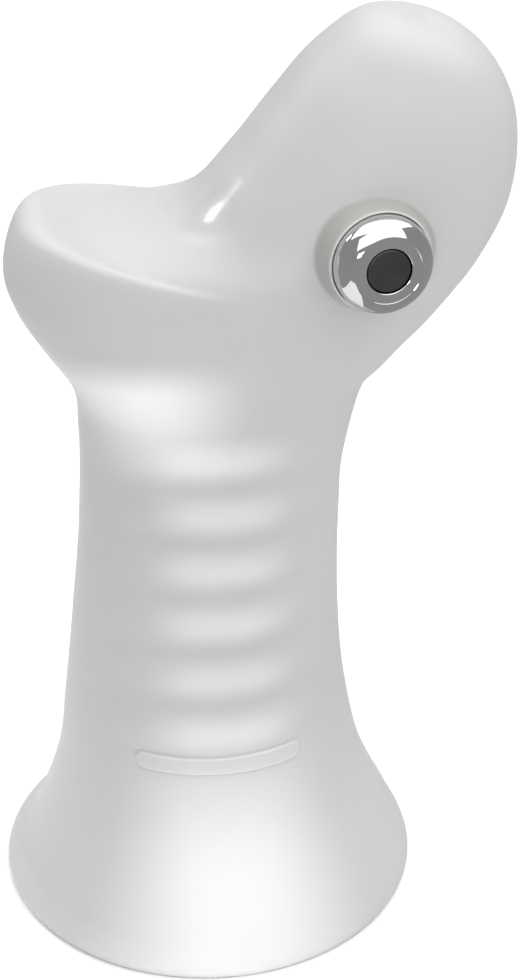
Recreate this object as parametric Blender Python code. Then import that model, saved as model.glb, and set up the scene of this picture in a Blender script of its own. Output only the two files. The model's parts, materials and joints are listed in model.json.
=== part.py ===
import math

import bmesh
import bpy
import numpy as np
from mathutils import Vector

# Overall sizes, metres. X is the long way of the head, -Y the front, Z up, origin at the foot's centre.
BODY_HEIGHT = 0.1814
BODY_HALF_WIDTH = 0.0560
FOOT_RADIUS = 0.0420
NECK_HALF_DEPTH = 0.0236

# Drive unit: tube, cap and what they hold. Stack positions are measured from the tube's round inner tip.
CASE_WALL = 0.0012
CAP_LENGTH = 0.0125
FIT_GAP = 0.0003
CELL_RADIUS = 0.0058
CELL_HEIGHT = 0.0054
CELL_GAP = 0.0002
THIN_GAP = 0.0001
SHAFT_RADIUS = 0.00075
BORE_CLEARANCE = 0.00005
MOTOR_RADIUS = 0.0050
MOTOR_LENGTH = 0.0085
MOTOR_WALL = 0.0004
MOTOR_FRONT_WALL = 0.0006
BUSHING_WALL = 0.00075
BUSHING_LENGTH = 0.0019
BUSHING_PROUD = 0.0003
MAGNET_INSET = 0.0008
ROTOR_INSET = 0.0006
SLOT_DEPTH = 0.00145
MAGNET_THICKNESS = 0.0010
WEIGHT_RADIUS = 0.0042
WEIGHT_LENGTH = 0.0040
WEIGHT_START = 0.0032
WEIGHT_TO_MOTOR = 0.0006
BELL_LENGTH = 0.0012
WIRE_SPACE = 0.0018
WIRE_RADIUS = 0.00035
WEB_THICKNESS = 0.0006
PLATE_THICKNESS = 0.0003
STRIP_THICKNESS = 0.00025
STRIP_HALF_ANGLE = 14.0
SPIGOT_WALL = 0.00135
SPIGOT_CLEARANCE = 0.00025
SPIGOT_OVERLAP = 0.0070
SEAL_WIRE_RADIUS = 0.00036
SEAL_GROOVE_DEPTH = 0.00065
SPRING_LENGTH = 0.0025
SPRING_WIRE_RADIUS = 0.00025
BOARD_THICKNESS = 0.0008
SWITCH_SIDE = 0.0050
SWITCH_HEIGHT = 0.0018
PLUNGER_RADIUS = 0.0014
PLUNGER_LENGTH = 0.0024
RETAINER_THICKNESS = 0.0006
BUTTON_RADIUS = 0.0040
BUTTON_TRAVEL = 0.0005
FLANGE_WIDTH = 0.00095
FLANGE_THICKNESS = 0.0009
CAP_TOP_THICKNESS = 0.0027
CAP_SHOULDER_WIDTH = 0.0027
CAP_SHOULDER_DEPTH = 0.0031
CAP_SHOULDER_END = 60.0
HOLE_CHAMFER = 0.00045
SEAL_GROOVE_DROP = 0.0016
SEAL_SIDE_CLEARANCE = 0.00015
BUTTON_RECESS = 0.00015
BUTTON_EDGE = 0.0004
BUTTON_DISH = 0.0001
RETAINER_RIM = 0.0006
SPRING_WIDE_RADIUS = 0.0042
SPRING_NARROW_RADIUS = 0.0024
SPRING_COILS = 2.5
CELL_EDGE = 0.0005
CELL_STEP_WIDTH = 0.0012
CELL_STEP_HEIGHT = 0.0004
CRADLE_INSET = 0.0010
CRADLE_SLOT_REACH = 0.0015
WIRE_HOLE_SHARE = 2.6
WIRE_SLOT_SHARE = 2.0
TERMINAL_SHARE = 0.52
CUT_MARGIN = 0.0010

# Soft body details.
REAR_WALL = 0.0062
UNIT_PROUD = 0.0072
POCKET_CLEARANCE = 0.0001
COLLAR_HEIGHT = 0.0027
COLLAR_BASE_WIDTH = 0.0013
COLLAR_LIP_WIDTH = 0.0004
COLLAR_LIP_ROUND = 0.0004
COLLAR_ROOT = 0.0100
RIB_COUNT = 6
RIB_LOWEST = 0.0487
RIB_PITCH = 0.0115
RIB_HEIGHT = 0.0012
RIB_FULL_ANGLE = 22.0
RIB_END_ANGLE = 56.0
ROLL_TOP = 0.1275
ROLL_CREST = 0.1195
ROLL_LOWEST = 0.0950
ROLL_PROUD = 0.0018
ROLL_TURN = -32.0
ROLL_SPREAD = 52.0
BAR_CENTRE = 0.0420
BAR_HEIGHT = 0.0034
BAR_HALF_ANGLE = 34.0
BAR_PROUD = 0.0005
BAR_ROOT = 0.0020
BAR_RADIUS_SHARE = 0.68
UNIT_ASIDE = 0.4929
UNIT_UP = 0.8021
UNIT_TURN = 9.0
UNIT_TILT = 2.0

SECTION_COUNT = 78
SIDE_COUNT = 44
ROUND_STEPS = 32
SPRING_STEPS = 36

# Stack of the drive unit, derived from the sizes above.
SPIGOT_INNER = CELL_RADIUS + FIT_GAP
SPIGOT_OUTER = SPIGOT_INNER + SPIGOT_WALL
BORE_RADIUS = SPIGOT_OUTER + SPIGOT_CLEARANCE
CASE_RADIUS = BORE_RADIUS + CASE_WALL
MOTOR_START = WEIGHT_START + WEIGHT_LENGTH + WEIGHT_TO_MOTOR
MOTOR_END = MOTOR_START + MOTOR_LENGTH
BELL_START = MOTOR_END + THIN_GAP
WEB_START = BELL_START + BELL_LENGTH + WIRE_SPACE
PLATE_START = WEB_START + WEB_THICKNESS + CELL_GAP
CELLS_START = PLATE_START + PLATE_THICKNESS + CELL_GAP
CELLS_END = CELLS_START + 3 * CELL_HEIGHT + 2 * CELL_GAP
SPRING_START = CELLS_END + CELL_GAP
BOARD_START = SPRING_START + SPRING_LENGTH + CELL_GAP
SWITCH_START = BOARD_START + BOARD_THICKNESS + CELL_GAP
SWITCH_END = SWITCH_START + SWITCH_HEIGHT
RETAINER_START = SWITCH_END + 2 * FIT_GAP
FLANGE_START = RETAINER_START + RETAINER_THICKNESS + BUTTON_TRAVEL + 2 * CELL_GAP
CAP_TOP_START = FLANGE_START + FLANGE_THICKNESS + FIT_GAP
UNIT_LENGTH = CAP_TOP_START + CAP_TOP_THICKNESS
CASE_MOUTH = UNIT_LENGTH - CAP_LENGTH
SPIGOT_START = CASE_MOUTH - SPIGOT_OVERLAP
HEAD_HALF_DEPTH = (UNIT_LENGTH - UNIT_PROUD + REAR_WALL) / 2

# Sections of the soft body from foot to crown, as shares of the sizes they follow: left edge across and up,
# right edge across and up, half depth in metres, and squareness, where 2 is an ellipse and more is squarer.
SECTIONS = (
    (-0.755, 0.000, 0.721, 0.000, FOOT_RADIUS * 0.986, 2.00),
    (-0.764, 0.006, 0.730, 0.006, FOOT_RADIUS * 1.000, 2.00),
    (-0.692, 0.033, 0.678, 0.052, FOOT_RADIUS * 0.960, 2.00),
    (-0.612, 0.094, 0.623, 0.087, FOOT_RADIUS * 0.867, 2.00),
    (-0.557, 0.154, 0.548, 0.144, FOOT_RADIUS * 0.752, 2.00),
    (-0.526, 0.229, 0.486, 0.234, FOOT_RADIUS * 0.681, 2.00),
    (-0.484, 0.346, 0.453, 0.342, FOOT_RADIUS * 0.619, 2.00),
    (-0.449, 0.463, 0.451, 0.462, NECK_HALF_DEPTH * 1.017, 2.00),
    (-0.440, 0.562, 0.465, 0.534, NECK_HALF_DEPTH * 1.000, 2.00),
    (-0.466, 0.626, 0.530, 0.616, NECK_HALF_DEPTH * 1.000, 2.04),
    (-0.633, 0.712, 0.609, 0.642, HEAD_HALF_DEPTH * 1.000, 2.15),
    (-0.662, 0.754, 0.677, 0.668, HEAD_HALF_DEPTH * 1.000, 2.35),
    (-0.601, 0.806, 0.725, 0.685, HEAD_HALF_DEPTH * 1.000, 2.50),
    (-0.387, 0.795, 0.814, 0.721, HEAD_HALF_DEPTH * 1.000, 2.50),
    (-0.083, 0.807, 0.904, 0.765, HEAD_HALF_DEPTH * 1.000, 2.50),
    (0.077, 0.855, 0.981, 0.817, HEAD_HALF_DEPTH * 0.987, 2.45),
    (0.205, 0.907, 1.005, 0.871, HEAD_HALF_DEPTH * 0.908, 2.40),
    (0.353, 0.963, 0.977, 0.924, HEAD_HALF_DEPTH * 0.758, 2.30),
    (0.508, 0.997, 0.886, 0.966, HEAD_HALF_DEPTH * 0.550, 2.20),
    (0.590, 1.000, 0.805, 0.984, HEAD_HALF_DEPTH * 0.342, 2.10),
    (0.708, 0.990, 0.708, 0.990, HEAD_HALF_DEPTH * 0.000, 2.00),
)

# Looks: colour, metallic, roughness.
CLEAR = ((0.86, 0.86, 0.87), 0.0, 0.35)
CHROME = ((0.75, 0.75, 0.76), 1.0, 0.06)
STEEL = ((0.60, 0.60, 0.61), 1.0, 0.25)
BRASS = ((0.75, 0.56, 0.25), 1.0, 0.3)
BLACK = ((0.02, 0.02, 0.02), 0.0, 0.4)
WHITE = ((0.85, 0.85, 0.84), 0.0, 0.5)
MAGNET = ((0.10, 0.10, 0.11), 0.3, 0.5)
HEAVY = ((0.45, 0.44, 0.43), 1.0, 0.35)
GREEN = ((0.05, 0.25, 0.10), 0.0, 0.5)
RED = ((0.60, 0.03, 0.02), 0.0, 0.5)


def clear_scene():
    for item in list(bpy.data.objects):
        bpy.data.objects.remove(item, do_unlink=True)


def material(name, colour, metallic=0.0, roughness=0.5):
    made = bpy.data.materials.new(name)
    made.use_nodes = True
    shader = made.node_tree.nodes["Principled BSDF"]
    shader.inputs["Base Color"].default_value = (*colour, 1.0)
    shader.inputs["Metallic"].default_value = metallic
    shader.inputs["Roughness"].default_value = roughness
    return made


def add_object(name, points, faces, look, parent=None):
    mesh = bpy.data.meshes.new(name)
    mesh.from_pydata([tuple(map(float, p)) for p in points], [], faces)
    work = bmesh.new()
    work.from_mesh(mesh)
    bmesh.ops.recalc_face_normals(work, faces=work.faces)
    work.to_mesh(mesh)
    work.free()
    for face in mesh.polygons:
        face.use_smooth = True
    mesh.set_sharp_from_angle(angle=math.radians(32))
    made = bpy.data.objects.new(name, mesh)
    made.data.materials.append(material(name, *look))
    bpy.context.collection.objects.link(made)
    made.parent = parent
    return made


def cut(target, tool, operation="DIFFERENCE"):
    tool.hide_render = True
    tool.display_type = "WIRE"
    step = target.modifiers.new(tool.name, "BOOLEAN")
    step.solver = "EXACT"
    step.operation = operation
    step.object = tool


def smooth_curve(keys, values, wanted):
    """Cubic through the rows of values, with slopes weighted by the neighbouring steps."""
    steps = np.diff(keys)[:, None]
    slopes = np.diff(values, axis=0) / steps
    ends = np.empty_like(values)
    ends[1:-1] = (slopes[:-1] * steps[1:] + slopes[1:] * steps[:-1]) / (steps[:-1] + steps[1:])
    ends[0] = slopes[0]
    ends[-1] = 2 * slopes[-1] - ends[-2]
    index = np.clip(np.searchsorted(keys, wanted, side="right") - 1, 0, len(keys) - 2)
    span = (keys[index + 1] - keys[index])[:, None]
    u = (wanted - keys[index])[:, None] / span
    start = (2 * u**3 - 3 * u**2 + 1) * values[index] + (u**3 - 2 * u**2 + u) * span * ends[index]
    finish = (3 * u**2 - 2 * u**3) * values[index + 1] + (u**3 - u**2) * span * ends[index + 1]
    return start + finish


def arc(centre_r, centre_z, width, depth, start, end, count):
    """Points on an ellipse quarter: angles in degrees from +r towards +z."""
    turns = np.radians(np.linspace(start, end, count))
    return [(centre_r + width * math.cos(a), centre_z + depth * math.sin(a)) for a in turns]


def turned(name, outline, look, parent, loop=True, steps=ROUND_STEPS, reach=None):
    """Turn an (r, z) outline about Z. loop: a ring; otherwise both ends lie on the axis.
    reach: maps an angle to the largest radius there, for shapes that are not round."""
    turns = [2 * math.pi * k / steps for k in range(steps)]
    inner = [p for p in outline if loop or p[0] > 1e-9]
    points = []
    for a in turns:
        limit = reach(a) if reach else 1.0
        points += [(min(r, limit) * math.cos(a), min(r, limit) * math.sin(a), z) for r, z in inner]
    count = len(inner)
    faces = []
    for k in range(steps):
        here, after = k * count, (k + 1) % steps * count
        for j in range(count if loop else count - 1):
            up = (j + 1) % count
            faces.append((here + j, after + j, after + up, here + up))
    if not loop:
        first, last = len(points), len(points) + 1
        points += [(0, 0, outline[0][1]), (0, 0, outline[-1][1])]
        for k in range(steps):
            here, after = k * count, (k + 1) % steps * count
            faces.append((first, after, here))
            faces.append((last, here + count - 1, after + count - 1))
    return add_object(name, points, faces, look, parent)


def ring_outline(inner, outer, low, high):
    return [(inner, low), (outer, low), (outer, high), (inner, high)]


def disc_outline(radius, low, high):
    return [(0, low), (radius, low), (radius, high), (0, high)]


def wire(name, path, radius, look, parent, sides=6):
    """Round wire along a path, with flat ends."""
    path = np.array(path)
    along = np.gradient(path, axis=0)
    along /= np.linalg.norm(along, axis=1)[:, None]
    side = np.cross(along, (0.31, 0.17, 0.93))
    side /= np.linalg.norm(side, axis=1)[:, None]
    other = np.cross(along, side)
    turns = 2 * np.pi * np.arange(sides) / sides
    ring = np.cos(turns)[None, :, None] * side[:, None] + np.sin(turns)[None, :, None] * other[:, None]
    points = (path[:, None] + radius * ring).reshape(-1, 3)
    faces = [
        (k * sides + j, k * sides + (j + 1) % sides, (k + 1) * sides + (j + 1) % sides, (k + 1) * sides + j)
        for k in range(len(path) - 1)
        for j in range(sides)
    ]
    faces.append(tuple(range(sides)))
    faces.append(tuple(range(len(points) - sides, len(points))))
    return add_object(name, points, faces, look, parent)


def body_sections(wanted):
    """Section values at shares 0 to 1 of the way from foot to crown."""
    table = np.array(SECTIONS)
    table[:, [0, 2]] *= BODY_HALF_WIDTH
    table[:, [1, 3]] *= BODY_HEIGHT
    left = np.linalg.norm(np.diff(table[:, 0:2], axis=0), axis=1)
    right = np.linalg.norm(np.diff(table[:, 2:4], axis=0), axis=1)
    keys = np.concatenate([[0.0], np.cumsum((left + right) / 2)])
    found = smooth_curve(keys / keys[-1], table, wanted)
    found[:, 4] = np.maximum(found[:, 4], 0.0)
    return found


def rib_lift(height, turn):
    """Cosine waves up the front, fading out to both sides."""
    wave = 0.5 + 0.5 * np.cos(2 * np.pi * (height - RIB_LOWEST) / RIB_PITCH)
    low = RIB_LOWEST - RIB_PITCH / 2
    inside = (height > low) & (height < low + RIB_COUNT * RIB_PITCH)
    away = np.degrees(np.abs(turn))
    fade = np.clip((RIB_END_ANGLE - away) / (RIB_END_ANGLE - RIB_FULL_ANGLE), 0, 1)
    return RIB_HEIGHT * wave * inside * fade * fade * (3 - 2 * fade)


def roll_lift(height, turn):
    """Roll where the neck meets the left lobe: steep above its crest, long below, fading to both sides."""
    above = np.clip((ROLL_TOP - height) / (ROLL_TOP - ROLL_CREST), 0, 1)
    below = np.clip((height - ROLL_LOWEST) / (ROLL_CREST - ROLL_LOWEST), 0, 1)
    beside = 1 - np.clip(np.abs(np.degrees(turn) - ROLL_TURN) / ROLL_SPREAD, 0, 1)
    shares = np.broadcast_arrays(above, below, beside)
    return ROLL_PROUD * np.prod([t * t * (3 - 2 * t) for t in shares], axis=0)


def body_points(shares, turns):
    """Soft body surface. turns: angle about the section, 0 at the front, positive to the right."""
    rows = body_sections(shares)
    power = rows[:, 5:6]
    across, front = np.sin(turns)[None], np.cos(turns)[None]
    swell = (np.abs(across) ** power + np.abs(front) ** power) ** (-1 / power)
    across, front = across * swell, front * swell
    x = (rows[:, 0:1] + rows[:, 2:3]) / 2 + (rows[:, 2:3] - rows[:, 0:1]) / 2 * across
    z = (rows[:, 1:2] + rows[:, 3:4]) / 2 + (rows[:, 3:4] - rows[:, 1:2]) / 2 * across
    y = -rows[:, 4:5] * front
    lift = rib_lift(z, turns[None]) + roll_lift(z, turns[None])
    return np.stack([x + lift * np.sin(turns)[None], y - lift * np.cos(turns)[None], z], -1)


def make_soft_body():
    shares = np.linspace(0, 1, SECTION_COUNT)
    turns = (np.arange(SIDE_COUNT) * 2 / SIDE_COUNT - 1) * np.pi
    grid = body_points(shares[:-1], turns)
    points = grid.reshape(-1, 3)
    crown = body_points(shares[-1:], turns[:1]).reshape(1, 3)
    points = np.concatenate([points, crown])
    faces = [
        (k * SIDE_COUNT + j, k * SIDE_COUNT + (j + 1) % SIDE_COUNT,
         (k + 1) * SIDE_COUNT + (j + 1) % SIDE_COUNT, (k + 1) * SIDE_COUNT + j)
        for k in range(SECTION_COUNT - 2)
        for j in range(SIDE_COUNT)
    ]
    top = (SECTION_COUNT - 2) * SIDE_COUNT
    faces += [(top + j, top + (j + 1) % SIDE_COUNT, len(points) - 1) for j in range(SIDE_COUNT)]
    faces.append(tuple(range(SIDE_COUNT)))
    return add_object("soft_body", points, faces, CLEAR)


def make_bar():
    """Plain raised bar with round ends, wrapped round the front under the ribs."""
    shares = np.linspace(0, 1, 400)
    heights = body_points(shares, np.zeros(1))[:, 0, 2]
    centre, low, high = np.interp([BAR_CENTRE, BAR_CENTRE - BAR_HEIGHT / 2, BAR_CENTRE + BAR_HEIGHT / 2],
                                  heights[:200], shares[:200])
    half = (high - low) / 2
    radius = FOOT_RADIUS * BAR_RADIUS_SHARE
    limit = math.radians(BAR_HALF_ANGLE)
    end = BAR_HEIGHT / 2 / radius
    curve = np.linspace(0, np.pi / 2, 5)
    side = limit - end + end * np.sin(curve)
    turns = np.concatenate([-side[::-1], np.linspace(-limit + end, limit - end, 13)[1:-1], side])
    shrink = np.concatenate([np.cos(curve)[::-1], np.ones(11), np.cos(curve)])
    shrink = np.maximum(shrink, 0.05)
    levels = np.linspace(-1, 1, 3)
    outer = np.empty((len(turns), len(levels), 3))
    for k, (turn, reach) in enumerate(zip(turns, shrink)):
        outer[k] = body_points(centre + levels * half * reach, np.array([turn]))[:, 0]
    away = np.stack([np.sin(turns), -np.cos(turns), 0 * turns], -1)[:, None]
    skin = np.concatenate([outer + away * BAR_PROUD, outer - away * BAR_ROOT]).reshape(-1, 3)
    rows, columns = len(turns), len(levels)
    half_count = rows * columns
    faces = []
    for k in range(rows - 1):
        for j in range(columns - 1):
            a, b = k * columns + j, (k + 1) * columns + j
            faces.append((a, b, b + 1, a + 1))
            faces.append((a + half_count, a + 1 + half_count, b + 1 + half_count, b + half_count))
    last = (rows - 1) * columns
    rim = [k * columns for k in range(rows)] + [last + j for j in range(1, columns)]
    rim += [k * columns + columns - 1 for k in range(rows - 2, -1, -1)]
    rim += [j for j in range(columns - 2, 0, -1)]
    for k, a in enumerate(rim):
        b = rim[(k + 1) % len(rim)]
        faces.append((a, b, b + half_count, a + half_count))
    return add_object("bar_tool", skin, faces, CLEAR)


def make_collar(axis):
    """Cone round the unit's mouth, leaning in to a thin rounded lip."""
    base = UNIT_LENGTH - UNIT_PROUD
    lip = base + COLLAR_HEIGHT
    pocket = CASE_RADIUS + POCKET_CLEARANCE
    wide = pocket + COLLAR_BASE_WIDTH
    outline = [(0, base - COLLAR_ROOT), (wide, base - COLLAR_ROOT), (wide, base)]
    outline += arc(pocket, lip - COLLAR_LIP_ROUND, COLLAR_LIP_WIDTH, COLLAR_LIP_ROUND, 10, 90, 4)
    outline += [(0, lip)]
    return turned("collar_tool", outline, CLEAR, axis, loop=False)


def make_pocket(axis):
    radius = CASE_RADIUS + POCKET_CLEARANCE
    outline = [(r, z) for r, z in arc(0, CASE_RADIUS, radius, radius, -90, 0, 8)]
    outline[0] = (0, CASE_RADIUS - radius)
    outline += [(radius, UNIT_LENGTH + CUT_MARGIN), (0, UNIT_LENGTH + CUT_MARGIN)]
    return turned("pocket_tool", outline, CLEAR, axis, loop=False)


def make_case(axis):
    outer = arc(0, CASE_RADIUS, CASE_RADIUS, CASE_RADIUS, -90, 0, 8)
    inner = arc(0, CASE_RADIUS, BORE_RADIUS, BORE_RADIUS, 0, -90, 7)
    outer[0] = (0, 0)
    inner[-1] = (0, CASE_WALL)
    outline = outer + [(CASE_RADIUS, CASE_MOUTH), (BORE_RADIUS, CASE_MOUTH)] + inner
    turned("bullet_case", outline, CHROME, axis, loop=False)


def make_cap(axis):
    low = CASE_MOUTH + FIT_GAP
    hole = BUTTON_RADIUS + FIT_GAP / 2
    groove = low - SEAL_GROOVE_DROP
    width = 2 * (SEAL_WIRE_RADIUS + SEAL_SIDE_CLEARANCE)
    end = math.radians(CAP_SHOULDER_END)
    wide, deep = CAP_SHOULDER_WIDTH / (1 - math.cos(end)), CAP_SHOULDER_DEPTH / math.sin(end)
    shoulder = arc(CASE_RADIUS - wide, UNIT_LENGTH - CAP_SHOULDER_DEPTH, wide, deep, 0, CAP_SHOULDER_END, 6)
    outline = [(SPIGOT_INNER, SPIGOT_START), (SPIGOT_OUTER, SPIGOT_START), (SPIGOT_OUTER, groove - width)]
    floor = SPIGOT_OUTER - SEAL_GROOVE_DEPTH
    outline += [(floor, groove - width), (floor, groove)]
    outline += [(SPIGOT_OUTER, groove), (SPIGOT_OUTER, low), (CASE_RADIUS, low)]
    outline += shoulder
    outline += [(hole + HOLE_CHAMFER, UNIT_LENGTH), (hole, UNIT_LENGTH - HOLE_CHAMFER)]
    outline += [(hole, CAP_TOP_START), (SPIGOT_INNER, CAP_TOP_START)]
    turned("end_cap", outline, CHROME, axis)
    seal_radius = (floor + BORE_RADIUS) / 2
    seal = arc(seal_radius, groove - width / 2, SEAL_WIRE_RADIUS, SEAL_WIRE_RADIUS, 0, 315, 8)
    turned("cap_o_ring", seal, BLACK, axis)


def make_button(axis):
    face = UNIT_LENGTH - BUTTON_RECESS
    flange = BUTTON_RADIUS + FLANGE_WIDTH
    outline = [(0, FLANGE_START), (flange, FLANGE_START), (flange, FLANGE_START + FLANGE_THICKNESS)]
    outline += [(BUTTON_RADIUS, FLANGE_START + FLANGE_THICKNESS)]
    outline += arc(BUTTON_RADIUS - BUTTON_EDGE, face - BUTTON_EDGE, BUTTON_EDGE, BUTTON_EDGE, 0, 90, 4)
    outline += [(0, face - BUTTON_DISH)]
    turned("push_button", outline, BLACK, axis, loop=False)
    ring = ring_outline(BUTTON_RADIUS + RETAINER_RIM, SPIGOT_INNER - CELL_GAP, RETAINER_START,
                        RETAINER_START + RETAINER_THICKNESS)
    turned("button_retainer", ring, WHITE, axis)


def box_between(name, low, high, look, axis):
    corners = [(x, y, z) for z in (low[2], high[2]) for y in (low[1], high[1]) for x in (low[0], high[0])]
    faces = [(0, 2, 3, 1), (4, 5, 7, 6), (0, 1, 5, 4), (2, 6, 7, 3), (0, 4, 6, 2), (1, 3, 7, 5)]
    return add_object(name, corners, faces, look, axis)


def make_switch(axis):
    board = disc_outline(SPIGOT_INNER - CELL_GAP, BOARD_START, BOARD_START + BOARD_THICKNESS)
    turned("switch_board", board, GREEN, axis, loop=False)
    half = SWITCH_SIDE / 2
    low_corner, high_corner = (-half, -half, SWITCH_START), (half, half, SWITCH_END)
    housing = box_between("switch_housing", low_corner, high_corner, BLACK, axis)
    plunger_top = FLANGE_START - FIT_GAP
    low = plunger_top - PLUNGER_LENGTH
    hole = disc_outline(PLUNGER_RADIUS + CELL_GAP, low - BUTTON_TRAVEL - THIN_GAP, SWITCH_END + CUT_MARGIN)
    cut(housing, turned("plunger_hole_tool", hole, BLACK, axis, loop=False))
    turned("switch_plunger", disc_outline(PLUNGER_RADIUS, low, plunger_top), WHITE, axis, loop=False)


def make_spring(axis):
    share = np.linspace(0, 1, SPRING_STEPS)
    turn = 2 * np.pi * SPRING_COILS * share
    radius = SPRING_WIDE_RADIUS + (SPRING_NARROW_RADIUS - SPRING_WIDE_RADIUS) * share
    height = BOARD_START - THIN_GAP - SPRING_WIRE_RADIUS - (SPRING_LENGTH - 2 * SPRING_WIRE_RADIUS) * share
    path = np.stack([radius * np.cos(turn), radius * np.sin(turn), height], -1)
    wire("contact_spring", path, SPRING_WIRE_RADIUS, STEEL, axis)


def make_cells(axis):
    for k in range(3):
        low = CELLS_START + k * (CELL_HEIGHT + CELL_GAP)
        top = low + CELL_HEIGHT
        inset = CELL_RADIUS - CELL_STEP_WIDTH
        outline = [(0, low), (CELL_RADIUS - CELL_EDGE, low), (CELL_RADIUS, low + CELL_EDGE)]
        outline += [(CELL_RADIUS, top - 2 * CELL_STEP_HEIGHT), (inset, top - CELL_STEP_HEIGHT)]
        outline += [(inset, top), (0, top)]
        turned(f"battery_cell_{k + 1}", outline, STEEL, axis, loop=False, steps=28)
    inner = CELL_RADIUS + FIT_GAP
    sleeve_end = SPIGOT_START - FIT_GAP
    strip_inner = BORE_RADIUS - CELL_GAP - STRIP_THICKNESS
    sleeve = ring_outline(inner, strip_inner - THIN_GAP, CELLS_START, sleeve_end)
    turned("battery_sleeve", sleeve, WHITE, axis)
    plate = disc_outline(CELL_RADIUS - CELL_GAP, PLATE_START, PLATE_START + PLATE_THICKNESS)
    turned("contact_plate", plate, BRASS, axis, loop=False)
    make_strip("ground_strip", strip_inner, strip_inner + STRIP_THICKNESS, CELLS_START + CELL_GAP,
               sleeve_end - CELL_GAP, axis)


def make_strip(name, inner, outer, low, high, axis):
    """Thin strip bent to an arc about the axis, on the -X side."""
    turns = np.radians(180 + np.linspace(-STRIP_HALF_ANGLE, STRIP_HALF_ANGLE, 5))
    points = [(r * math.cos(a), r * math.sin(a), z) for a in turns
              for r, z in ring_outline(inner, outer, low, high)]
    faces = [(k * 4 + j, k * 4 + (j + 1) % 4, k * 4 + 4 + (j + 1) % 4, k * 4 + 4 + j)
             for k in range(4) for j in range(4)]
    faces += [(0, 1, 2, 3), (16, 17, 18, 19)]
    add_object(name, points, faces, BRASS, axis)


def make_motor(axis):
    shaft_hole = SHAFT_RADIUS + BORE_CLEARANCE
    bushing = shaft_hole + BUSHING_WALL
    seat = bushing + BORE_CLEARANCE
    inside = MOTOR_RADIUS - MOTOR_WALL
    front = MOTOR_START + MOTOR_FRONT_WALL
    can = [(seat, MOTOR_START), (MOTOR_RADIUS, MOTOR_START), (MOTOR_RADIUS, MOTOR_END)]
    can += [(inside, MOTOR_END), (inside, front), (seat, front)]
    turned("motor_can", can, STEEL, axis)
    bushing_start = MOTOR_START - BUSHING_PROUD
    bushing_end = bushing_start + BUSHING_LENGTH
    sleeve = ring_outline(shaft_hole, bushing, bushing_start, bushing_end)
    turned("motor_bushing", sleeve, BRASS, axis, steps=24)
    magnet_outer = inside - THIN_GAP
    magnet_inner = magnet_outer - MAGNET_THICKNESS
    magnet = ring_outline(magnet_inner, magnet_outer, front + MAGNET_INSET, MOTOR_END - MAGNET_INSET)
    turned("magnet_ring", magnet, MAGNET, axis)
    rotor_radius = magnet_inner - FIT_GAP
    slot = lambda a: rotor_radius - (SLOT_DEPTH if math.cos(3 * a) > 0.93 else 0.0)
    core_start, core_end = bushing_end + ROTOR_INSET, MOTOR_END - MAGNET_INSET - ROTOR_INSET
    core = ring_outline(shaft_hole, rotor_radius, core_start, core_end)
    turned("rotor", core, STEEL, axis, steps=36, reach=slot)
    shaft = disc_outline(SHAFT_RADIUS, WEIGHT_START - CELL_GAP, BELL_START + BELL_LENGTH / 2)
    turned("motor_shaft", shaft, STEEL, axis, loop=False, steps=24)
    half_round = lambda a: WEIGHT_RADIUS if math.sin(a) > -0.05 else SHAFT_RADIUS * 2
    weight = ring_outline(shaft_hole, WEIGHT_RADIUS, WEIGHT_START, WEIGHT_START + WEIGHT_LENGTH)
    turned("eccentric_weight", weight, HEAVY, axis, steps=36, reach=half_round)
    bell = ring_outline(shaft_hole, MOTOR_RADIUS - THIN_GAP, BELL_START, BELL_START + BELL_LENGTH)
    turned("motor_end_bell", bell, WHITE, axis)


def make_cradle(axis):
    inner, outer = MOTOR_RADIUS + CELL_GAP, BORE_RADIUS - CELL_GAP
    web_end = WEB_START + WEB_THICKNESS
    hole = WIRE_RADIUS * WIRE_HOLE_SHARE
    start = MOTOR_START + CRADLE_INSET
    outline = [(inner, start), (outer, start), (outer, web_end), (hole, web_end)]
    outline += [(hole, WEB_START), (inner, WEB_START)]
    cradle = turned("motor_cradle", outline, WHITE, axis)
    slot = WIRE_RADIUS * WIRE_SLOT_SHARE
    low_corner = (-outer - CUT_MARGIN, -slot, BELL_START + BELL_LENGTH + CELL_GAP)
    high_corner = (-inner + CRADLE_SLOT_REACH, slot, web_end + CUT_MARGIN)
    cut(cradle, box_between("cradle_slot_tool", low_corner, high_corner, WHITE, axis))


def make_leads(axis):
    """Two wires from the motor's terminals: red through the web's hole, black through its slot."""
    low = BELL_START + BELL_LENGTH + FIT_GAP
    middle = low + WIRE_SPACE * 0.35
    high = PLATE_START - THIN_GAP
    terminal = MOTOR_RADIUS * TERMINAL_SHARE
    red = [(terminal, 0, low), (terminal * 0.95, 0, middle - CELL_GAP), (terminal * 0.7, 0, middle)]
    red += [(terminal * 0.3, 0, middle + THIN_GAP), (terminal * 0.05, 0, middle + 4 * THIN_GAP)]
    red += [(0, 0, WEB_START), (0, 0, high)]
    wire("lead_wire_red", red, WIRE_RADIUS, RED, axis)
    far = BORE_RADIUS - 4 * WIRE_RADIUS
    black = [(-terminal, 0, low), (-terminal * 1.05, 0, middle - CELL_GAP), (-terminal * 1.3, 0, middle)]
    black += [(-far * 0.9, 0, middle + THIN_GAP), (-far, 0, middle + 5 * THIN_GAP), (-far, 0, high)]
    wire("lead_wire_black", black, WIRE_RADIUS, BLACK, axis)


def unit_axis():
    """Empty at the tube's inner tip, its Z pointing out of the head along the unit."""
    turn, tilt = math.radians(UNIT_TURN), math.radians(UNIT_TILT)
    out = Vector((math.sin(turn) * math.cos(tilt), -math.cos(turn) * math.cos(tilt), math.sin(tilt)))
    surface = Vector((UNIT_ASIDE * BODY_HALF_WIDTH, -HEAD_HALF_DEPTH, UNIT_UP * BODY_HEIGHT))
    made = bpy.data.objects.new("unit_axis", None)
    made.rotation_euler = out.to_track_quat("Z", "Y").to_euler()
    made.location = surface - out * (UNIT_LENGTH - UNIT_PROUD)
    bpy.context.collection.objects.link(made)
    return made


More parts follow.
